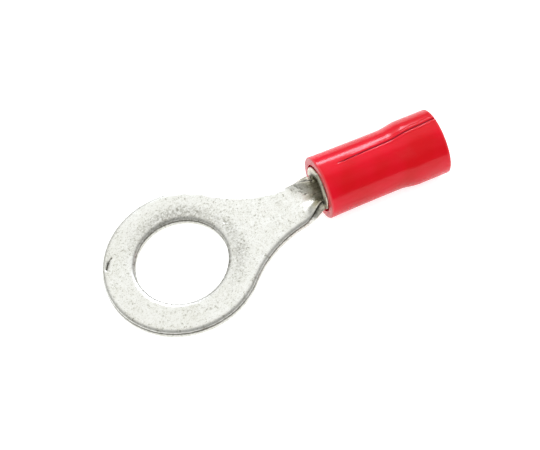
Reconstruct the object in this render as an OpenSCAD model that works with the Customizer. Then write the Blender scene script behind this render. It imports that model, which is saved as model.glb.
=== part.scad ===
// Insulated ring terminal for one thin wire: a stamped and rolled copper
// terminal with a soft plastic sleeve over its barrel.
// The origin is the centre of the stud hole on the ring's lower face.
// +Z runs along the stud, +X along the tongue towards the wire.
// All lengths are in millimetres and all angles in degrees.

/* [Ring] */
// Diameter of the stud hole
hole_d = 6.5; // [5.4:0.1:7.2]
// Outer diameter of the ring
ring_d = 11; // [9.6:0.1:13]
// Thickness of the copper sheet
sheet_t = 0.7; // [0.6:0.05:0.9]
// Width of the edge that the punch drew down round the outline
outline_roll = 0.3; // [0.1:0.05:0.4]
// Width of the edge that the punch drew down round the stud hole
hole_roll = 0.38; // [0.1:0.02:0.5]
// Height of both drawn edges
roll_h = 0.22; // [0.1:0.02:0.35]

/* [Neck] */
// Width of the neck between the ring and the barrel
neck_w = 3.2; // [2.9:0.1:3.9]
// Radius of the curve that runs from the ring into the neck
neck_fillet = 8; // [5.5:0.5:9]
// Centre of the stud hole to the mouth of the barrel
barrel_x = 10.45; // [10:0.05:13]
// Length over which the flat neck turns up into a trough
form_len = 1.9; // [1.6:0.1:3.4]
// Height of the barrel's axis over the ring's lower face, at its mouth
axis_z = 1.3; // [0.9:0.05:1.7]
// Angle by which the barrel points below the plane of the ring
barrel_drop = 8; // [0:0.5:10]

/* [Barrel] */
// Bore of the barrel
bore_d = 1.7; // [1.5:0.05:2]
// Length of the barrel
barrel_len = 5.2; // [4.4:0.1:5.6]
// Diameter of the relief hole where the trough's edge meets the barrel's mouth
relief_d = 0.4; // [0.3:0.05:0.5]
// Width of the butted seam along the top of the barrel
seam_w = 0.06; // [0.04:0.01:0.1]
// Depth of the grooves that grip the wire
groove_depth = 0.1; // [0.05:0.01:0.15]
// Width of a groove
groove_w = 0.35; // [0.2:0.05:0.5]
// Number of grooves
groove_count = 3; // [2:1:4]

/* [Sleeve] */
// Length of the sleeve
sleeve_len = 8.9; // [8.4:0.1:11]
// Wall of the sleeve
sleeve_wall = 0.6; // [0.45:0.01:0.7]
// Gap all round between the barrel and the sleeve
sleeve_gap = 0.02; // [0.01:0.01:0.05]
// Length of the barrel that stands out of the sleeve
mouth_proud = 0.1; // [0.05:0.05:0.4]
// How much wider in radius the sleeve is at its front end than at its waist
front_swell = 0.06; // [0:0.01:0.08]
// How much wider in radius the wire end is than the waist
flare = 0.17; // [0.1:0.01:0.35]
// Front end of the sleeve to the end of its waist
waist_len = 5.3; // [4.8:0.1:6]
// Length of the slope from the waist to the wire end
slope_len = 1.5; // [0.8:0.1:2]
// Radius on the sleeve's end edges
sleeve_round = 0.12; // [0.05:0.01:0.2]
// How much wider in radius the sleeve's bore is at its front end
lead_in = 0.13; // [0.05:0.01:0.2]
// Length over which the bore narrows from there to the barrel
lead_in_len = 0.8; // [0.3:0.1:1.5]

/* [Hidden] */
$fn = 96;

// The formed neck is this much slimmer all round where it runs into the flat
// ring and into the barrel, so that the three join as one solid.
JOIN = 0.01;
// How far the formed neck reaches into the barrel's wall
JOIN_LEN = 0.25;
// Extra reach of a tool past the face that it cuts
CUT = 1;
ROLL_STEPS = 6;
EDGE_STEPS = 3;
BLANK_STEPS = 8;
FORM_STEPS = 12;
STRIP_STEPS = 10;
SLOPE_STEPS = 10;

ring_r = ring_d / 2;
hole_r = hole_d / 2;
bore_r = bore_d / 2;
barrel_r = bore_r + sheet_t;
barrel_mid_r = bore_r + sheet_t / 2;
form_x = barrel_x - form_len;

// Centre of the curve between ring and neck: it touches the ring from outside
// and the straight side of the neck.
fillet_y = neck_w / 2 + neck_fillet;
fillet_x = sqrt(pow(ring_r + neck_fillet, 2) - pow(fillet_y, 2));
// Where that curve touches the ring, which is where the tongue's sweep starts
tongue_x = fillet_x * ring_r / (ring_r + neck_fillet);

seat_r = barrel_r + sleeve_gap;
waist_r = seat_r + sleeve_wall;

// Points of a quarter ellipse about a corner, from angle a0 to a1
function quarter(cx, cy, rx, ry, a0, a1, steps) =
    [for (i = [0 : steps])
        let (a = a0 + (a1 - a0) * i / steps)
        [cx + rx * cos(a), cy + ry * sin(a)]];

function ease(u) = u * u * (3 - 2 * u);

// Half the width of the outline at x, between the ring and the barrel
function half_width(x) =
    x >= fillet_x
        ? neck_w / 2
        : fillet_y - sqrt(pow(neck_fillet, 2) - pow(fillet_x - x, 2));

// Width of the drawn edge measured across the tongue at x, where the outline
// runs at a slant
function edge_width(x) =
    x >= fillet_x
        ? outline_roll
        : outline_roll * neck_fillet / sqrt(pow(neck_fillet, 2) - pow(fillet_x - x, 2));

// Distances across the sheet at which its section has a point: close together
// on the drawn edges and even between them
function stations_across(w, edge) =
    let (flat = w - edge)
    concat(
        [for (i = [EDGE_STEPS : -1 : 1]) -flat - edge * sin(90 * i / EDGE_STEPS)],
        [for (i = [0 : STRIP_STEPS]) flat * (2 * i / STRIP_STEPS - 1)],
        [for (i = [1 : EDGE_STEPS]) flat + edge * sin(90 * i / EDGE_STEPS)]
    );

// How far the drawn edge lies below the sheet's upper face at y
function edge_drop(y, w, edge) =
    let (t = max(0, (abs(y) - w + edge) / edge))
    roll_h * (1 - sqrt(max(0, 1 - t * t)));

// Section of the sheet at x as [across, up from its middle], slimmed by JOIN:
// the lower side from left to right and then the upper side from left to right
function strip_section(x) =
    let (
        w = half_width(x) - JOIN,
        h = sheet_t / 2 - JOIN,
        edge = edge_width(x),
        ys = stations_across(w, edge)
    )
    concat([for (y = ys) [y, -h]], [for (y = ys) [y, h - edge_drop(y, w, edge)]]);

// A section rolled upwards to a curvature: [across, up]
function rolled(p, curvature) =
    curvature < 1e-4
        ? p
        : let (
              r = 1 / curvature,
              a = p[0] * curvature * 180 / PI
          )
          [(r - p[1]) * sin(a), r - (r - p[1]) * cos(a)];

// Foot of the barrel's middle wall at its mouth
foot_x = barrel_x - barrel_mid_r * sin(barrel_drop);
foot_z = axis_z - barrel_mid_r * cos(barrel_drop);

// Path of the sheet's middle from the flat tongue to the barrel: [x, z, pitch].
// u is 0 where the forming starts and 1 at the barrel's mouth.
function path(u) =
    let (
        dx = foot_x - form_x,
        dz = foot_z - sheet_t / 2,
        end_slope = -tan(barrel_drop) * dx,
        z = sheet_t / 2 + dz * ease(u) + end_slope * (pow(u, 3) - pow(u, 2)),
        slope = (6 * dz * (u - u * u) + end_slope * (3 * u * u - 2 * u)) / dx
    )
    [form_x + dx * u, z, -atan(slope)];

function placed(p, at) =
    [at[0] + p[1] * sin(at[2]), p[0], at[1] + p[1] * cos(at[2])];

function neck_section(u) =
    let (
        at = path(u),
        section = strip_section(at[0]),
        curvature = ease(u) / barrel_mid_r
    )
    [for (p = section) placed(rolled(p, curvature), at)];

// A section moved along x and z
function shifted(section, dx, dz) = [for (p = section) p + [dx, 0, dz]];

// Closed solid through sections that each hold a lower and an upper row
module loft(sections) {
    n = len(sections[0]);
    half = n / 2;
    last = len(sections) - 1;
    // The points of a section in order round its outline
    ring = concat([for (i = [0 : half - 1]) i], [for (i = [n - 1 : -1 : half]) i]);
    sides = [
        for (s = [0 : last - 1], i = [0 : n - 1])
            let (
                a = s * n + ring[i],
                b = s * n + ring[(i + 1) % n],
                c = b + n,
                d = a + n
            )
            each [[a, d, b], [b, d, c]]
    ];
    front = [
        for (i = [0 : half - 2])
            each [[i, i + 1, half + i], [i + 1, half + i + 1, half + i]]
    ];
    back = [for (f = front) [f[2] + last * n, f[1] + last * n, f[0] + last * n]];
    polyhedron(points = [for (s = sections) each s], faces = concat(front, sides, back));
}

module on_barrel_axis() {
    translate([barrel_x, 0, axis_z]) rotate([0, 90 + barrel_drop, 0]) children();
}

// The round blank of the ring with its outer upper edge drawn down
module disc() {
    rotate_extrude()
        polygon(concat(
            [[0, 0], [ring_r, 0]],
            quarter(ring_r - outline_roll, sheet_t - roll_h,
                    outline_roll, roll_h, 0, 90, ROLL_STEPS),
            [[0, sheet_t]]
        ));
}

// Tool for the stud hole: a true cylinder up to the drawn upper edge
module hole_tool() {
    rotate_extrude()
        polygon(concat(
            [[0, -CUT], [hole_r, -CUT]],
            quarter(hole_r + hole_roll, sheet_t - roll_h,
                    hole_roll, roll_h, 180, 90, ROLL_STEPS),
            [[hole_r + hole_roll, sheet_t + CUT], [0, sheet_t + CUT]]
        ));
}

// The tongue and the neck in one sweep: flat from the ring to where the forming
// starts, and from there rolled up into a trough that ends in the barrel
module neck() {
    blank = [
        for (i = [0 : BLANK_STEPS - 1])
            let (x = tongue_x + (form_x - tongue_x) * i / BLANK_STEPS)
            [for (p = strip_section(x)) placed(p, [x, sheet_t / 2, 0])]
    ];
    formed = [for (i = [0 : FORM_STEPS]) neck_section(i / FORM_STEPS)];
    loft(concat(
        blank,
        formed,
        [shifted(formed[FORM_STEPS],
                 JOIN_LEN * cos(barrel_drop), -JOIN_LEN * sin(barrel_drop))]
    ));
}

// Round grooves pressed into the bore to grip the wire
module grooves() {
    pitch = barrel_len / (groove_count + 1);
    for (i = [1 : groove_count])
        translate([0, 0, i * pitch - groove_w / 2])
            cylinder(h = groove_w, r = bore_r + groove_depth);
}

module barrel() {
    on_barrel_axis()
        difference() {
            cylinder(h = barrel_len, r = barrel_r);
            translate([0, 0, -CUT]) cylinder(h = barrel_len + 2 * CUT, r = bore_r);
            grooves();
            translate([-2 * barrel_r, -seam_w / 2, -CUT])
                cube([2 * barrel_r, seam_w, barrel_len + 2 * CUT]);
        }
}

// Tools for the two relief holes, drilled square to the wall
module reliefs() {
    // Angle from the bottom of the barrel round to the trough's edge
    edge_angle = neck_w / 2 / barrel_mid_r * 180 / PI;
    on_barrel_axis()
        for (side = [-1, 1])
            rotate([0, 0, side * edge_angle])
                translate([bore_r / 2, 0, 0])
                    rotate([0, 90, 0])
                        cylinder(h = barrel_r, r = relief_d / 2);
}

module terminal() {
    color([0.8, 0.8, 0.78])
        difference() {
            union() {
                disc();
                neck();
                barrel();
            }
            hole_tool();
            reliefs();
        }
}

// Outer radius of the sleeve at a distance from its front end
function sleeve_r(z) =
    z < waist_len
        ? waist_r + front_swell * pow(1 - z / waist_len, 2)
        : waist_r + flare * ease(min(1, (z - waist_len) / slope_len));

// Stations at which the sleeve's profile has a point
stations = concat(
    [for (i = [0 : SLOPE_STEPS])
        sleeve_round + (waist_len - sleeve_round) * i / SLOPE_STEPS],
    [for (i = [1 : SLOPE_STEPS]) waist_len + slope_len * i / SLOPE_STEPS]
);

module sleeve() {
    front_r = sleeve_r(0);
    rear_r = sleeve_r(sleeve_len);
    color([0.8, 0.02, 0.08])
        on_barrel_axis()
            translate([0, 0, mouth_proud])
                rotate_extrude()
                    polygon(concat(
                        [[seat_r + lead_in, 0]],
                        quarter(front_r - sleeve_round, sleeve_round,
                                sleeve_round, sleeve_round, -90, 0, ROLL_STEPS),
                        [for (z = stations) if (z > sleeve_round) [sleeve_r(z), z]],
                        quarter(rear_r - sleeve_round, sleeve_len - sleeve_round,
                                sleeve_round, sleeve_round, 0, 90, ROLL_STEPS),
                        [[rear_r - sleeve_wall, sleeve_len]],
                        [for (i = [0 : SLOPE_STEPS])
                            let (z = waist_len + slope_len * (1 - i / SLOPE_STEPS))
                            [sleeve_r(z) - sleeve_wall, z]],
                        [[seat_r, lead_in_len]]
                    ));
}

terminal();
sleeve();
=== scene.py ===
import math

import bmesh
import bpy
import numpy as np
from mathutils import Matrix, Vector


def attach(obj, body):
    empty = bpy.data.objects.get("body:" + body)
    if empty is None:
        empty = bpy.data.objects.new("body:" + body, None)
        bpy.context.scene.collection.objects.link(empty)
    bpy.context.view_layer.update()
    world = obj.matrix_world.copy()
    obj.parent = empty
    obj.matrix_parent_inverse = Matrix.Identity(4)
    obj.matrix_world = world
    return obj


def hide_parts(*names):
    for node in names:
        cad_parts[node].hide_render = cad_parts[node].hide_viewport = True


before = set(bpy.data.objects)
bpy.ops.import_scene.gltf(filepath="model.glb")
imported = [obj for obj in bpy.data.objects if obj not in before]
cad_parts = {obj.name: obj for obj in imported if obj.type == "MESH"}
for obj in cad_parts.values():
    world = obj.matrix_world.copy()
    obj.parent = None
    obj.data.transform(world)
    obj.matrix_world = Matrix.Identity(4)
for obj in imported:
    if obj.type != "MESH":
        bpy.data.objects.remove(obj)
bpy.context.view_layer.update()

MM = 0.001

# ------------------------------------------------------------------ sizes, in mm
# x runs from the ring's centre to the wire end, and the ring's lower face lies on z = 0.
# What part.scad has too is the same here, apart from the sleeve's length (8.9 there), its
# rear round and the relief hole's radius (0.2 there), which follow the photograph closer.
SHEET_T = 0.7
RING_R, HOLE_R = 5.5, 3.25
NECK_HALF, NECK_FILLET = 1.6, 8.0
FORM_X = 8.55                        # where the flat tongue starts to bend
BARREL_X, AXIS_Z = 10.45, 1.3        # front end of the barrel's axis
DROP = math.radians(8)               # how much the barrel points down
BORE_R, BARREL_LEN = 0.85, 5.2
SEAM = 0.06
RELIEF_R = 0.1                       # relief hole between neck and barrel
GROOVES, GROOVE_W, GROOVE_D, GROOVE_FLANK = 3, 0.35, 0.1, 0.1

# The punch draws the upper edges down: how far in that reaches, and how deep
OUT_EDGE, HOLE_EDGE, MOUTH_EDGE = 0.3, 0.38, 0.12
ROLL_H, SEAM_ROLL_H = 0.22, 0.03
UNDER_R = 0.05                       # round on the lower edges

SLEEVE_LEN, SLEEVE_WALL, SLEEVE_GAP = 8.99, 0.6, 0.02
MOUTH_PROUD, FRONT_SWELL, FLARE = 0.1, 0.06, 0.17
WAIST_LEN, SLOPE_LEN = 5.3, 1.5
FRONT_ROUND, REAR_ROUND = 0.12, 0.072
REAR_CHAMFER = 0.05                  # on the inner edge of the wire end
STRAIGHT_END = 0.4                   # the bore is straight before the wire end
LEAD_IN, LEAD_IN_LEN = 0.13, 0.8
REST_IN = 0.12                       # how far in from the wire end the sleeve rests on the floor

# The crease along the sleeve's top: its place round the axis at three distances from the
# front, where it starts and fades in, its half width and depth, and the lips beside it
CREASE_AT, CREASE_DEGREES = [1.4, 5.4, SLEEVE_LEN], [-1.5, 2.5, 8.5]
CREASE_START, CREASE_FADE = 1.2, 0.8
CREASE_W, CREASE_D = 0.045, 0.05
LIP_AT, LIP_W, LIP_H, LIP_FADE = 0.17, 0.09, 0.03, 5
HIGHLIGHT_RIM_W = 0.16                         # width of the painted highlight at each end of the sleeve

# Dents in the upper face, each also painted with shade by its depth: both ends of each, its half width and
# its depth
DENTS = [((-4.82, 1.95), (-4.47, 2.40), 0.085, 0.09),      # the nick near the ring's edge
         ((-4.47, 2.40), (-4.12, 2.62), 0.05, 0.05),
         ((3.80, 1.25), (4.05, 1.05), 0.06, 0.025),        # beside the hole
         ((4.95, -2.45), (5.15, -2.3), 0.05, 0.025),       # at the ring's front edge
         ((9.58, 0.52), (9.64, 0.50), 0.045, 0.05),        # tool marks where the trough rises
         ((9.15, 1.45), (9.32, 1.12), 0.045, 0.030),
         ((9.38, 1.20), (9.50, 0.95), 0.04, 0.026),
         ((9.32, 0.85), (9.45, 0.66), 0.04, 0.024),
         ((8.85, 1.25), (9.0, 0.85), 0.05, 0.015)]
FULL_SHADE_DEPTH = 0.045                    # a dent of this depth gets the full painted shade
TROUGH_FROM, TROUGH_FULL = 9.0, 10.3  # x where the trough's darker tint, drawn lines and painted shade, starts and is full

# Darker arcs behind and beside the hole: radius, and middle and spread in degrees
DARK_ARC_BEHIND, DARK_ARC_BESIDE, DARK_ARC_W = (3.75, 72, 85), (4.05, -18, 50), 0.5

# -------------------------------------------------------- worked out from the sizes
MID_R = BORE_R + SHEET_T / 2                  # the sheet's middle, rolled
FILLET_Y = NECK_HALF + NECK_FILLET            # centre of the neck's curve
FILLET_X = math.sqrt((RING_R + NECK_FILLET) ** 2 - FILLET_Y ** 2)
LEAVE_ANGLE = math.atan2(FILLET_Y, FILLET_X)  # where that curve leaves the ring
TONGUE_X = RING_R * math.cos(LEAVE_ANGLE)
FOOT_X = BARREL_X - MID_R * math.sin(DROP)    # where the barrel's lowest line starts
FOOT_Z = AXIS_Z - MID_R * math.cos(DROP)
AXIS = np.array([math.cos(DROP), 0, -math.sin(DROP)])
ABOVE_AXIS = np.array([math.sin(DROP), 0, math.cos(DROP)])
AXIS_START = np.array([BARREL_X, 0, AXIS_Z])

# The barrel's part of the flat blank, inside its drawn edges
SEAM_Y = math.pi * MID_R - SEAM / 2
SIDE_Y = SEAM_Y - MOUTH_EDGE
FRONT_X = FOOT_X + MOUTH_EDGE
REAR_X = FOOT_X + BARREL_LEN - MOUTH_EDGE
RELIEF_CUT = math.asin(MOUTH_EDGE / (RELIEF_R + MOUTH_EDGE))
RELIEF_REACH = (RELIEF_R + MOUTH_EDGE) * math.cos(RELIEF_CUT)
RELIEF_SLANT = (RELIEF_REACH - RELIEF_R) / MOUTH_EDGE

SEAT_R = BORE_R + SHEET_T + SLEEVE_GAP
WAIST_R = SEAT_R + SLEEVE_WALL

# -------------------------------------------------------------- steps of the meshes
RING_STEPS, RADIAL_STEPS, TONGUE_COLUMNS = 300, 16, 84
TONGUE_ROWS, RELIEF_STEPS = 30, 22
BARREL_ROWS, BARREL_COLUMNS, CORNER_STEPS = 70, 26, 6
ROW_BULGE, BULGE_ROWS = 0.45, 12     # the tongue's first rows bend with the ring
ROLL_STEPS, UNDER_STEPS = 7, 3
ROUND_STEPS, SLEEVE_SIDE, SLEEVE_BORE = 6, 118, 80
CREASE_FROM, CREASE_TO = -5, 13      # degrees with close steps
CLOSE_STEPS, WIDE_STEPS = 60, 214
SAME = 1e-6                          # two lengths closer than this are equal
NO_CURL = 1e-4                       # 1/mm; a sheet that curls less is flat
WELD, TINY_EDGE = 2e-7, 1e-8         # metres

# Painted shade along the edges: how dark each edge is painted at some points of its profile,
# and how much more on the hole's front side. Points 0 to ROLL_STEPS go round the drawn-down edge, and the
# next ones down the cut.
EDGE_SHADE = {1: 0.10, 6: 0.6, 7: 1.0, 8: 0.5}
# painted shade that reaches higher on the hole's front edge
HOLE_FRONT_SHADE = {4: 0.35, 5: 0.85, 6: 0.3}


def ease(u):
    """Smooth step from 0 to 1."""
    u = np.clip(u, 0, 1)
    return u * u * (3 - 2 * u)


# ---------------------------------------------------- the sheet, flat and formed
def form(flat):
    """Formed place of points of the flat blank: x along, y across, z from the middle."""
    x, y, z = flat[:, 0], flat[:, 1], flat[:, 2]
    # the middle line rises from the tongue to the barrel's foot, then follows the axis
    dx, dz = FOOT_X - FORM_X, FOOT_Z - SHEET_T / 2
    u = np.clip((x - FORM_X) / dx, 0, 1)
    slope_end = -math.tan(DROP) * dx
    slope = (6 * dz * (u - u * u) + slope_end * (3 * u * u - 2 * u)) / dx
    pitch = -np.arctan(slope)
    past = np.clip(x - FOOT_X, 0, None)
    line_x = np.where(x < FORM_X, x, FORM_X + dx * u) + past * AXIS[0]
    line_z = SHEET_T / 2 + dz * ease(u) + slope_end * (u ** 3 - u ** 2) + past * AXIS[2]
    # across it, the sheet curls up to the barrel's own radius
    curl = ease(u) / MID_R
    is_flat = curl < NO_CURL
    curl = np.where(is_flat, 1, curl)
    r = 1 / curl
    across = np.where(is_flat, y, (r - z) * np.sin(y * curl))
    up = np.where(is_flat, z, r - (r - z) * np.cos(y * curl))
    return np.stack([line_x + up * np.sin(pitch), across, line_z + up * np.cos(pitch)], 1)


def edge_profile(width, drop):
    """Inset and height of an edge, from the upper face round to the lower face."""
    h, lip = SHEET_T / 2, UNDER_R
    out = [(width - width * math.sin(a), h - drop + drop * math.cos(a))
           for a in np.linspace(0, math.pi / 2, ROLL_STEPS + 1)]
    out += [(0, h - drop + (lip - 2 * h + drop) * t) for t in (0.33, 0.67)]
    out += [(lip - lip * math.cos(a), -h + lip - lip * math.sin(a))
            for a in np.linspace(0, math.pi / 2, UNDER_STEPS + 1)]
    out += [(width, -h)]
    return out


class Patches:
    """Grids of points that meet along their borders, to be welded into one mesh."""

    def __init__(self):
        self.points, self.faces, self.marks, self.count = [], [], [], 0

    def grid(self, points, flip=False, marks=None):
        """Add one grid of points, with how dark each of them is painted."""
        points = np.asarray(points, float)
        rows, columns = points.shape[:2]
        marks = np.zeros((rows, columns)) if marks is None else np.asarray(marks, float)
        i, j = np.meshgrid(np.arange(rows - 1), np.arange(columns - 1), indexing="ij")
        first = self.count + i * columns + j
        quads = np.stack([first, first + columns, first + columns + 1, first + 1], -1).reshape(-1, 4)
        self.points.append(points.reshape(-1, 3))
        self.marks.append(marks.reshape(-1))
        self.faces.append(quads[:, ::-1] if flip else quads)
        self.count += rows * columns

    def plate(self, places):
        """A flat grid of x and y, laid on the upper and on the lower face."""
        places = np.asarray(places, float)
        for z, flip in ((SHEET_T / 2, False), (-SHEET_T / 2, True)):
            self.grid(np.concatenate([places, np.full(places.shape[:2] + (1,), z)], -1), flip)

    def edge(self, outline):
        """An edge swept along an outline, with a line of painted shade where its cut starts."""
        rows, marks = [], []
        for x, y, nx, ny, width in outline:
            at_seam = abs(abs(y) - SEAM_Y) < SAME and ny * y > 0
            drop = SEAM_ROLL_H if at_seam else ROLL_H * min(1, width / OUT_EDGE + 0.15)
            profile = edge_profile(width, drop)
            rows.append([(x - nx * d, y - ny * d, z) for d, z in profile])
            # the painted shade wavers a little along the edge, and the seam has none
            strength = 0 if at_seam else 0.95 + 0.05 * math.sin(x * 2.3 + y * 1.7)
            # on the hole's front side the painted shade reaches higher up the drawn-down edge
            front_shade = float(ease(-y / 1.2)) if np.hypot(x, y) < HOLE_R + 0.1 else 0
            marks.append([strength * (EDGE_SHADE.get(i, 0) + front_shade * HOLE_FRONT_SHADE.get(i, 0))
                          for i in range(len(profile))])
        self.grid(rows, marks=marks)


# An outline is a list of stations: x, y, the outward normal's x and y, and the edge's width.
def inset(station):
    """Where the edge of a station ends on the face."""
    x, y, nx, ny, width = station
    return x - nx * width, y - ny * width


def round_outline(radius, angles, width, outward):
    """Stations on a circle round the ring's centre; outward is -1 for the hole."""
    return [(radius * math.cos(t), radius * math.sin(t), outward * math.cos(t), outward * math.sin(t), width)
            for t in angles]


def tongue_outline():
    """One side of the tongue and the neck, from the ring to the relief hole."""
    end_x = FOOT_X - RELIEF_REACH
    out = []
    for x in np.concatenate([np.linspace(TONGUE_X, FORM_X, TONGUE_ROWS),
                             np.linspace(FORM_X, end_x, TONGUE_ROWS)[1:]]):
        y, nx, ny = NECK_HALF, 0.0, 1.0
        if x < FILLET_X:
            y = FILLET_Y - math.sqrt(NECK_FILLET ** 2 - (FILLET_X - x) ** 2)
            nx, ny = (FILLET_X - x) / NECK_FILLET, (FILLET_Y - y) / NECK_FILLET
        width = OUT_EDGE + (MOUTH_EDGE - OUT_EDGE) * ease((x - FORM_X) / (end_x - FORM_X))
        out.append((x, y, nx, ny, float(width)))
    out.append((FOOT_X - RELIEF_R, NECK_HALF, RELIEF_SLANT, 1.0, MOUTH_EDGE))
    return out


def relief_outline():
    """The relief hole, whose outward normal points at its own centre."""
    return [(FOOT_X + RELIEF_R * math.cos(a), NECK_HALF + RELIEF_R * math.sin(a),
             -math.cos(a), -math.sin(a), MOUTH_EDGE)
            for a in np.linspace(math.pi + RELIEF_CUT, 2.5 * math.pi - RELIEF_CUT, RELIEF_STEPS)]


def corner_outline(x, start, end):
    """A corner of the barrel's blank, after its first station."""
    return [(x + MOUTH_EDGE * math.cos(a), SIDE_Y + MOUTH_EDGE * math.sin(a),
             math.cos(a), math.sin(a), MOUTH_EDGE)
            for a in np.linspace(start, end, CORNER_STEPS)[1:]]


def barrel_outline(front_ys, rear_ys, lengthwise):
    """One side of the barrel's blank, from the relief hole to the middle of the rear edge."""
    out = [(FOOT_X, NECK_HALF + RELIEF_R, -1.0, -RELIEF_SLANT, MOUTH_EDGE)]
    out += [(FOOT_X, y, -1.0, 0.0, MOUTH_EDGE) for y in front_ys]
    out += corner_outline(FRONT_X, math.pi, math.pi / 2)
    out += [(FRONT_X + (REAR_X - FRONT_X) * t, SIDE_Y + MOUTH_EDGE, 0.0, 1.0, MOUTH_EDGE)
            for t in lengthwise[1:]]
    out += corner_outline(REAR_X, math.pi / 2, 0)
    out += [(REAR_X + MOUTH_EDGE, y, 1.0, 0.0, MOUTH_EDGE) for y in rear_ys]
    return out


def make_blank():
    """The whole flat blank: both faces of ring, tongue and barrel, then the edges."""
    blank = Patches()
    ring_angles = np.linspace(LEAVE_ANGLE, 2 * math.pi - LEAVE_ANGLE, RING_STEPS + 1)
    tongue_angles = np.linspace(-LEAVE_ANGLE, LEAVE_ANGLE, TONGUE_COLUMNS + 1)
    across = np.tan(tongue_angles) / math.tan(LEAVE_ANGLE)      # -1 to 1 over the width
    lengthwise = np.linspace(0, 1, BARREL_ROWS)

    def row(x, y, bulge=0.0):
        return np.stack([x + bulge * (1 - across * across), y * across], -1)

    hole_face_r = HOLE_R + HOLE_EDGE
    radii = np.linspace(hole_face_r, RING_R - OUT_EDGE, RADIAL_STEPS + 1)
    blank.plate([[(r * math.cos(t), r * math.sin(t)) for t in ring_angles] for r in radii])

    # the tongue's last rows follow the inner half of the relief holes, and then the blank widens
    relief = relief_outline()
    turn = sum(1 for station in relief if station[1] <= NECK_HALF + SAME)
    side = tongue_outline() + relief[:turn]
    rows = [row(*inset(station), ROW_BULGE * max(0.0, 1 - i / BULGE_ROWS))
            for i, station in enumerate(side)]
    hole_row = np.array([(hole_face_r * math.cos(t), hole_face_r * math.sin(t)) for t in tongue_angles])
    blank.plate([hole_row * (1 - t) + rows[0] * t for t in np.linspace(0, 1, RADIAL_STEPS + 1)])
    blank.plate(rows)

    # the barrel's blank: its middle, and a wing on each side
    start_x, start_y = rows[-1][-1]
    blank.plate([row(start_x + (REAR_X - start_x) * t, start_y) for t in lengthwise])
    past_relief = [inset(station) for station in relief[turn:]]
    front_ys = np.linspace(past_relief[-1][1], SIDE_Y, BARREL_COLUMNS)
    wing = [(start_x, start_y)] + past_relief + [(FRONT_X, y) for y in front_ys[1:]]
    for sign, line in ((1, wing), (-1, wing[::-1])):
        blank.plate([[(x + (REAR_X - x) * t, sign * y) for x, y in line] for t in lengthwise])

    rear_ys = [y for _, y in wing[::-1][1:]]
    rear_ys += [start_y * c for c in across[::-1][1:TONGUE_COLUMNS // 2 + 1]]
    half = side + relief[turn:] + barrel_outline(front_ys, rear_ys, lengthwise)
    blank.edge(half[::-1])
    blank.edge([(x, -y, nx, -ny, width) for x, y, nx, ny, width in half])
    blank.edge(round_outline(RING_R, ring_angles[::-1], OUT_EDGE, 1))
    blank.edge(round_outline(HOLE_R, np.concatenate([tongue_angles, ring_angles[1:]]), HOLE_EDGE, -1))
    return blank


def dent_shape(x, y, a, b, width):
    """1 on the line from a to b, falling to 0 over the width."""
    a, b = np.array(a), np.array(b)
    d = b - a
    t = np.clip(((x - a[0]) * d[0] + (y - a[1]) * d[1]) / (d @ d), 0, 1)
    gap = np.hypot(x - a[0] - t * d[0], y - a[1] - t * d[1])
    return np.exp(-(gap / width) ** 2)


def dark_arc(x, y, arc):
    """1 in the middle of an arc round the ring's centre, falling to 0 round it."""
    radius, middle, spread = arc
    off_angle = np.abs(np.degrees(np.arctan2(y, x)) - middle)
    return np.exp(-((np.hypot(x, y) - radius) / DARK_ARC_W) ** 2) * np.clip(1 - off_angle / spread, 0, 1)


def dent_shade_and_arcs(x, y, z):
    """How dark the tin is painted, from 0 to 1, on the flat blank: shade in the dents, and darker arcs by
    the hole.
    """
    behind = dark_arc(x, y, DARK_ARC_BEHIND)
    upper = 0.46 * behind + 0.36 * dark_arc(x, y, DARK_ARC_BESIDE)
    # painted shade in each dent, the darker the deeper it is
    for a, b, width, depth in DENTS:
        upper = np.maximum(upper, dent_shape(x, y, a, b, width * 0.9) * min(1, depth / FULL_SHADE_DEPTH))
    return np.clip(np.where(z > 0, upper, 0.12 * behind), 0, 1)


def pressed(x, y, z):
    """The blank's z with the dents and the bore's grip grooves pressed into the upper face."""
    for a, b, width, depth in DENTS:
        z = np.where(z > 0, z - depth * dent_shape(x, y, a, b, width), z)
    pitch = BARREL_LEN / (GROOVES + 1)
    for i in range(1, GROOVES + 1):
        gap = np.abs(x - FOOT_X - i * pitch)
        groove = GROOVE_D * ease((GROOVE_W / 2 + GROOVE_FLANK / 2 - gap) / GROOVE_FLANK)
        z = np.where(z > SHEET_T / 2 - SAME, z - groove, z)
    return z


def make_object(name, points, faces, marks, sharp):
    """A welded, closed mesh that rides on the part, keeping for each point its painted shade, highlight or
    tone.
    """
    bm = bmesh.new()
    layer = bm.verts.layers.float.new("marks")
    verts = []
    for point, value in zip(points, marks):
        vert = bm.verts.new(Vector(point) * MM)
        vert[layer] = float(value)
        verts.append(vert)
    for corners in faces:
        bm.faces.new([verts[i] for i in corners])
    bmesh.ops.remove_doubles(bm, verts=bm.verts, dist=WELD)
    bmesh.ops.dissolve_degenerate(bm, edges=bm.edges, dist=TINY_EDGE)
    bmesh.ops.recalc_face_normals(bm, faces=bm.faces)
    if bm.calc_volume(signed=True) < 0:
        bmesh.ops.reverse_faces(bm, faces=bm.faces)
    for face in bm.faces:
        face.smooth = True
    for edge in bm.edges:
        edge.smooth = len(edge.link_faces) != 2 or edge.calc_face_angle(0) <= math.radians(sharp)
    open_edges = sum(1 for edge in bm.edges if len(edge.link_faces) != 2)
    print(f"PIECE {name}: {len(bm.faces)} faces, {open_edges} open edges")
    mesh = bpy.data.meshes.new(name)
    bm.to_mesh(mesh)
    bm.free()
    obj = bpy.data.objects.new(name, mesh)
    bpy.context.scene.collection.objects.link(obj)
    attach(obj, "root")
    return obj


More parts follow.
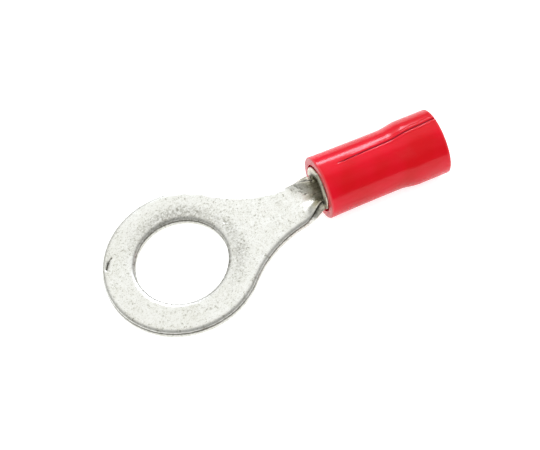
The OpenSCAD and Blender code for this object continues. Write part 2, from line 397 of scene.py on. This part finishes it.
def make_terminal():
    """The tinned copper piece: the flat blank, given painted shade and darker arcs, pressed, then bent."""
    blank = make_blank()
    points = np.concatenate(blank.points)
    x, y, z = points.T
    formed = form(np.stack([x, y, pressed(x, y, z)], 1))
    marks = np.maximum(dent_shade_and_arcs(x, y, z), np.concatenate(blank.marks))
    obj = make_object("ring_terminal", formed, np.concatenate(blank.faces), marks, sharp=50)
    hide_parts("terminal")
    return obj


# ------------------------------------------------------------------- the sleeve
def sleeve_r(z):
    """Outer radius at a distance from the sleeve's front end."""
    front = WAIST_R + FRONT_SWELL * (1 - np.minimum(z, WAIST_LEN) / WAIST_LEN) ** 2
    return front + FLARE * ease((z - WAIST_LEN) / SLOPE_LEN)


def sleeve_profile():
    """Closed loop of radius and distance from the front end, and which points are outside."""
    front_r, rear_r = sleeve_r(0.0), sleeve_r(SLEEVE_LEN)
    quarter = np.linspace(0, math.pi / 2, ROUND_STEPS + 1)
    rear_z = SLEEVE_LEN - REAR_ROUND
    outside = [(front_r - FRONT_ROUND + FRONT_ROUND * math.sin(a), FRONT_ROUND - FRONT_ROUND * math.cos(a))
               for a in quarter]
    outside += [(sleeve_r(z), z) for z in np.linspace(FRONT_ROUND, rear_z, SLEEVE_SIDE + 2)[1:-1]]
    outside += [(rear_r - REAR_ROUND + REAR_ROUND * math.cos(a), rear_z + REAR_ROUND * math.sin(a))
                for a in quarter]
    inner_r = rear_r - SLEEVE_WALL
    inside = [(inner_r + REAR_CHAMFER, SLEEVE_LEN), (inner_r, SLEEVE_LEN - REAR_CHAMFER)]
    for z in np.linspace(SLEEVE_LEN - STRAIGHT_END, 0, SLEEVE_BORE):
        lead = LEAD_IN * max(0.0, 1 - z / LEAD_IN_LEN)
        inside.append((sleeve_r(z) - SLEEVE_WALL if z > WAIST_LEN else SEAT_R + lead, z))
    profile = np.array(outside + inside)
    return profile, np.arange(len(profile)) < len(outside)


def make_sleeve():
    """The red sleeve: its profile turned round the axis, with a crease along the top."""
    profile, outside = sleeve_profile()
    degrees = np.concatenate([np.linspace(CREASE_FROM, CREASE_TO, CLOSE_STEPS),
                              np.linspace(CREASE_TO, CREASE_FROM + 360, WIDE_STEPS + 2)[1:-1]])
    # a is measured round the axis from straight up, towards +y
    a = np.repeat(np.radians(degrees)[:, None], len(profile), 1)
    r = np.repeat(profile[None, :, 0], len(degrees), 0)
    z = np.repeat(profile[None, :, 1], len(degrees), 0)

    # the crease runs along the top from behind the front rim to the end, and wavers a little
    centre = np.radians(np.interp(z, CREASE_AT, CREASE_DEGREES)
                        + 0.15 * np.sin(z * 2.1) + 0.12 * np.sin(z * 5.3 + 1))
    off = ((a - centre + math.pi) % (2 * math.pi) - math.pi) * r
    along = ease((z - CREASE_START) / CREASE_FADE)
    groove = np.exp(-(off / CREASE_W) ** 2) * along
    lip = np.exp(-((np.abs(off) - LIP_AT) / LIP_W) ** 2) * along * ease((z - CREASE_START) / LIP_FADE)
    r = r - np.where(outside, CREASE_D * groove - LIP_H * lip, 0)

    # 0.5 is plain vinyl, 1 the painted shade at the bottom of the crease, and less than 0.5 the painted
    # highlight of a rim
    rim_highlight = np.clip(1 - z / HIGHLIGHT_RIM_W, 0, 1) + 0.7 * np.clip(1 - (SLEEVE_LEN - z) / HIGHLIGHT_RIM_W, 0, 1)
    marks = np.where(outside, 0.5 + 0.5 * groove - 0.35 * rim_highlight, 0.5).reshape(-1)

    a, r, z = (v.reshape(-1, 1) for v in (a, r, z))
    points = (AXIS_START + AXIS * MOUTH_PROUD + z * AXIS
              + r * np.cos(a) * ABOVE_AXIS + r * np.sin(a) * np.array([0, 1, 0]))
    index = np.arange(len(points)).reshape(len(degrees), len(profile))
    beside = np.roll(index, -1, 0)
    faces = np.stack([index, beside, np.roll(beside, -1, 1), np.roll(index, -1, 1)], -1).reshape(-1, 4)
    obj = make_object("red_sleeve", points, faces, marks, sharp=40)
    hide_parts("sleeve")
    return obj


# -------------------------------------------------------------------- materials
class Nodes:
    """A small helper that adds nodes to a node tree and links them."""

    def __init__(self, tree):
        self.tree = tree

    def add(self, kind, **values):
        node = self.tree.nodes.new(kind)
        for key, value in values.items():
            setattr(node, key, value)
        return node

    def link(self, a, b):
        self.tree.links.new(a, b)

    def feed(self, value, socket):
        """Link an output to a socket, or set the socket to a number or a colour."""
        if isinstance(value, bpy.types.NodeSocket):
            self.link(value, socket)
        else:
            socket.default_value = (*value, 1) if isinstance(value, tuple) else value

    def noise(self, coord, scale, detail, rough, distortion=0.0):
        n = self.add("ShaderNodeTexNoise")
        n.inputs["Scale"].default_value = scale
        n.inputs["Detail"].default_value = detail
        n.inputs["Roughness"].default_value = rough
        n.inputs["Distortion"].default_value = distortion
        self.link(coord, n.inputs["Vector"])
        return n.outputs["Fac"]

    def ramp(self, fac, stops):
        n = self.add("ShaderNodeValToRGB")
        elements = n.color_ramp.elements
        while len(elements) < len(stops):
            elements.new(0.5)
        for element, (position, colour) in zip(elements, stops):
            element.position = position
            element.color = (*colour, 1)
        self.link(fac, n.inputs["Fac"])
        return n.outputs["Color"]

    def math(self, operation, a, b):
        n = self.add("ShaderNodeMath", operation=operation)
        self.feed(a, n.inputs[0])
        self.feed(b, n.inputs[1])
        return n.outputs[0]

    def span(self, value, start, end, low=0.0, high=1.0, kind="LINEAR"):
        """From low to high while the value goes from start to end."""
        n = self.add("ShaderNodeMapRange", interpolation_type=kind)
        for key, number in (("From Min", start), ("From Max", end), ("To Min", low), ("To Max", high)):
            n.inputs[key].default_value = number
        self.link(value, n.inputs["Value"])
        return n.outputs["Result"]

    def mix(self, fac, a, b, blend="MIX"):
        n = self.add("ShaderNodeMix", data_type="RGBA", blend_type=blend)
        for name, value in (("Factor", fac), ("A", a), ("B", b)):
            self.feed(value, [s for s in n.inputs if s.name == name and s.enabled][0])
        return [s for s in n.outputs if s.enabled][0]

    def bump(self, height, strength, distance, normal=None):
        n = self.add("ShaderNodeBump")
        n.inputs["Strength"].default_value = strength
        n.inputs["Distance"].default_value = distance
        self.link(height, n.inputs["Height"])
        if normal is not None:
            self.link(normal, n.inputs["Normal"])
        return n.outputs["Normal"]


class Material(Nodes):
    """A new material and the nodes in it."""

    def __init__(self, name):
        self.material = bpy.data.materials.new(name)
        self.material.use_nodes = True
        super().__init__(self.material.node_tree)
        self.bsdf = self.tree.nodes["Principled BSDF"]

    def surface(self):
        """Places on the object, and the painted shade, highlight and tone kept for its points."""
        return (self.add("ShaderNodeTexCoord").outputs["Object"],
                self.add("ShaderNodeAttribute", attribute_name="marks").outputs["Fac"])


def tin_material():
    """Dull tin plate, mottled and specked, with grain and handling marks."""
    m = Material("tin_plate")
    coord, marks = m.surface()
    broad = m.noise(coord, 520, 3, 0.6, 0.6)
    patch = m.noise(coord, 1500, 3, 0.65, 0.8)
    fine = m.noise(coord, 6000, 4, 0.75, 0.5)
    grain = m.noise(coord, 13000, 2, 0.6, 0.2)
    tone = m.ramp(broad, [(0.3, (0.90, 0.90, 0.85)), (0.7, (0.965, 0.97, 0.935))])
    specks = m.ramp(fine, [(0.34, (0.36, 0.35, 0.31)), (0.45, (0.91, 0.91, 0.88)), (0.6, (1, 1, 1))])
    dots = m.ramp(grain, [(0.31, (0.42, 0.41, 0.37)), (0.44, (0.98, 0.98, 0.97))])
    amount = m.ramp(patch, [(0.38, (0.08, 0.08, 0.08)), (0.58, (1, 1, 1))])
    colour = m.mix(1.0, tone, m.mix(amount, (1, 1, 1), specks), "MULTIPLY")
    colour = m.mix(0.6, colour, dots, "MULTIPLY")

    # the trough is darker and browner towards the barrel: fine drawn lines along it, and painted shade of
    # the hollow
    place = m.add("ShaderNodeSeparateXYZ")
    m.link(coord, place.inputs[0])
    trough = m.span(place.outputs["X"], TROUGH_FROM * MM, TROUGH_FULL * MM, kind="SMOOTHSTEP")
    drawn = m.add("ShaderNodeMapping")
    drawn.inputs["Scale"].default_value = (0.12, 1, 1)
    m.link(coord, drawn.inputs["Vector"])
    lines = m.ramp(m.noise(drawn.outputs[0], 7000, 3, 0.7),
                   [(0.36, (0.62, 0.58, 0.47)), (0.6, (0.98, 0.95, 0.86))])
    colour = m.mix(trough, colour, m.mix(1.0, colour, lines, "MULTIPLY"))

    # painted shade along the edges and in the dents, and the darker arcs, are grey-brown, broken up by the
    # grain, and the deepest painted shade is nearly black
    grit = m.ramp(fine, [(0.40, (1, 1, 1)), (0.60, (0.12, 0.12, 0.12))])
    darkening = m.math("MULTIPLY", m.math("MULTIPLY", marks, 2.0), grit)
    colour = m.mix(darkening, colour, (0.27, 0.26, 0.22))
    colour = m.mix(m.span(marks, 0.45, 0.9), colour, (0.05, 0.045, 0.035))
    m.link(colour, m.bsdf.inputs["Base Color"])
    m.bsdf.inputs["Metallic"].default_value = 1.0
    m.link(m.span(fine, 0, 1, 0.22, 0.42), m.bsdf.inputs["Roughness"])

    cells = m.add("ShaderNodeTexVoronoi", feature="F1")
    cells.inputs["Scale"].default_value = 2600
    m.link(coord, cells.inputs["Vector"])
    waves = m.bump(broad, 0.5, 0.00005)
    crystals = m.bump(cells.outputs["Distance"], 0.35, 0.00002, waves)
    m.link(m.bump(fine, 0.5, 0.000012, crystals), m.bsdf.inputs["Normal"])
    return m.material


def vinyl_material():
    """Glossy red vinyl with soft waves, painted shade in the crease and a painted highlight on the rims."""
    m = Material("red_vinyl")
    coord, marks = m.surface()
    broad = m.noise(coord, 300, 2, 0.5)
    fine = m.noise(coord, 3200, 3, 0.6)
    colour = m.ramp(broad, [(0.35, (0.72, 0.002, 0.008)), (0.65, (0.90, 0.002, 0.026))])
    # painted shade in the crease
    colour = m.mix(m.span(marks, 0.5, 1.0), colour, (0.20, 0.002, 0.014))
    # painted highlight on the pale rims at the ends
    colour = m.mix(m.span(marks, 0.5, 0.0), colour, (0.90, 0.16, 0.17))
    m.link(colour, m.bsdf.inputs["Base Color"])
    m.bsdf.inputs["Roughness"].default_value = 0.17
    m.bsdf.inputs["Specular IOR Level"].default_value = 0.33
    m.bsdf.inputs["Subsurface Weight"].default_value = 0.12
    m.bsdf.inputs["Subsurface Radius"].default_value = (0.0005, 0.00004, 0.00004)
    waves = m.bump(broad, 0.4, 0.00010)
    m.link(m.bump(fine, 0.25, 0.00001, waves), m.bsdf.inputs["Normal"])
    return m.material


def floor_material():
    """A pale floor that glows for the camera and for gloss, and still takes the shadow."""
    m = Material("pale_floor")
    m.bsdf.inputs["Base Color"].default_value = (0.9, 0.9, 0.9, 1)
    m.bsdf.inputs["Roughness"].default_value = 0.9
    m.bsdf.inputs["Specular IOR Level"].default_value = 0.1
    path = m.add("ShaderNodeLightPath")
    seen = m.math("MAXIMUM", m.math("MULTIPLY", path.outputs["Is Camera Ray"], 0.6),
                  m.math("MULTIPLY", path.outputs["Is Glossy Ray"], 0.3))
    glow = m.add("ShaderNodeEmission")
    glow.inputs["Color"].default_value = (1, 1, 1, 1)
    m.link(seen, glow.inputs["Strength"])
    both = m.add("ShaderNodeAddShader")
    m.link(m.bsdf.outputs[0], both.inputs[0])
    m.link(glow.outputs[0], both.inputs[1])
    m.link(both.outputs[0], m.tree.nodes["Material Output"].inputs["Surface"])
    return m.material


# -------------------------------------------------------- camera, floor and light
RIGHT = Vector((0.893, -0.425, -0.147)).normalized()      # across the picture
BACK = Vector((-0.098, -0.503, 0.859))                    # roughly towards the camera
LENS, SENSOR = 150.0, 36
VIEW_WIDTH = 36.835                  # mm across the picture at the ring's centre
VIEW_RIGHT, VIEW_UP = 5.937, 2.751   # mm from the ring's centre to the picture's middle
FLOOR_SIZE, FLOOR_GAP = 0.4, 0.00003                      # metres
LIT_POINT = Vector((0.007, 0, 0))                         # metres; the lamps point at it
SOFT_BOX = Vector((0.1, 0.5, 0.86)).normalized()          # towards a white soft box
SCREEN = Vector((0.1, -0.96, 0.26)).normalized()          # towards a darker screen


def facing(z_axis, place):
    """At a place, turned so that z points along the axis."""
    return Matrix.Translation(place) @ z_axis.to_track_quat("Z", "Y").to_matrix().to_4x4()


def make_camera():
    """The camera at the photograph's viewing angle."""
    back = (BACK - RIGHT * BACK.dot(RIGHT)).normalized()
    up = back.cross(RIGHT)
    data = bpy.data.cameras.new("camera")
    data.lens, data.sensor_width = LENS, SENSOR
    data.clip_start, data.clip_end = 0.01, 5
    camera = bpy.data.objects.new("camera", data)
    bpy.context.scene.collection.objects.link(camera)
    aim = (RIGHT * VIEW_RIGHT + up * VIEW_UP) * MM
    distance = LENS / SENSOR * VIEW_WIDTH * MM
    camera.matrix_world = (Matrix.Translation(aim + back * distance)
                           @ Matrix((RIGHT, up, back)).transposed().to_4x4())
    bpy.context.scene.camera = camera


def make_floor():
    """The floor, tilted so that the ring's tip and the sleeve's wire end rest on it."""
    rear = AXIS_START + AXIS * (MOUTH_PROUD + SLEEVE_LEN - REST_IN) - ABOVE_AXIS * sleeve_r(SLEEVE_LEN)
    tilt = math.atan2(-rear[2], rear[0] + RING_R)
    normal = Vector((math.sin(tilt), 0, math.cos(tilt)))
    bm = bmesh.new()
    bmesh.ops.create_grid(bm, x_segments=2, y_segments=2, size=FLOOR_SIZE)
    mesh = bpy.data.meshes.new("floor")
    bm.to_mesh(mesh)
    bm.free()
    mesh.materials.append(floor_material())
    floor = bpy.data.objects.new("floor", mesh)
    bpy.context.scene.collection.objects.link(floor)
    floor.matrix_world = facing(normal, Vector((-RING_R, 0, 0)) * MM - normal * FLOOR_GAP)


def make_world():
    """White to the camera; to the part, a white box above and behind and a darker screen in front."""
    world = bpy.data.worlds.new("studio")
    bpy.context.scene.world = world
    world.use_nodes = True
    w = Nodes(world.node_tree)
    w.tree.nodes.clear()
    way = w.add("ShaderNodeTexCoord").outputs["Generated"]

    def around(axis, far, near, outside, inside):
        """A strength that goes from outside to inside; far and near are cosines of the angle to it."""
        dot = w.add("ShaderNodeVectorMath", operation="DOT_PRODUCT")
        dot.inputs[1].default_value = axis
        w.link(way, dot.inputs[0])
        return w.span(dot.outputs["Value"], far, near, outside, inside, kind="SMOOTHSTEP")

    light, seen = w.add("ShaderNodeBackground"), w.add("ShaderNodeBackground")
    light.inputs["Color"].default_value = (1.0, 1.0, 0.985, 1)
    box = around(SOFT_BOX, far=0.70, near=0.93, outside=0.42, inside=0.98)
    screen = around(SCREEN, far=0.80, near=0.96, outside=1.0, inside=0.60)
    w.link(w.math("MULTIPLY", box, screen), light.inputs["Strength"])
    seen.inputs["Color"].default_value = (1, 1, 1, 1)
    seen.inputs["Strength"].default_value = 1.0
    mixer = w.add("ShaderNodeMixShader")
    w.link(w.add("ShaderNodeLightPath").outputs["Is Camera Ray"], mixer.inputs[0])
    w.link(light.outputs[0], mixer.inputs[1])
    w.link(seen.outputs[0], mixer.inputs[2])
    w.link(mixer.outputs[0], w.add("ShaderNodeOutputWorld").inputs[0])


def area_light(name, direction, distance, size, power, colour=(1, 1, 1)):
    """A soft lamp in that direction from the part, turned to it."""
    data = bpy.data.lights.new(name, "AREA")
    data.shape = "RECTANGLE"
    data.size, data.size_y = size
    data.energy = power
    data.color = colour
    lamp = bpy.data.objects.new(name, data)
    bpy.context.scene.collection.objects.link(lamp)
    away = Vector(direction).normalized()
    lamp.matrix_world = facing(away, LIT_POINT + away * distance)
    return lamp


# --------------------------------------------------------------------- the scene
# The CAD nodes get the same material as the piece that stands for them.
for node, piece, material in (("terminal", make_terminal(), tin_material()),
                              ("sleeve", make_sleeve(), vinyl_material())):
    piece.data.materials.append(material)
    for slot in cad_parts[node].material_slots:
        slot.material = material

make_camera()
make_floor()
make_world()
area_light("key", (0.45, 0.75, 0.49), distance=0.6, size=(0.34, 0.11), power=1.5,
           colour=(0.82, 0.87, 1.0))
fill = area_light("fill", (0.0, -0.6, 0.8), distance=0.35, size=(0.25, 0.25), power=0.56)
fill.visible_glossy = False
bpy.context.scene.view_settings.view_transform = "Standard"
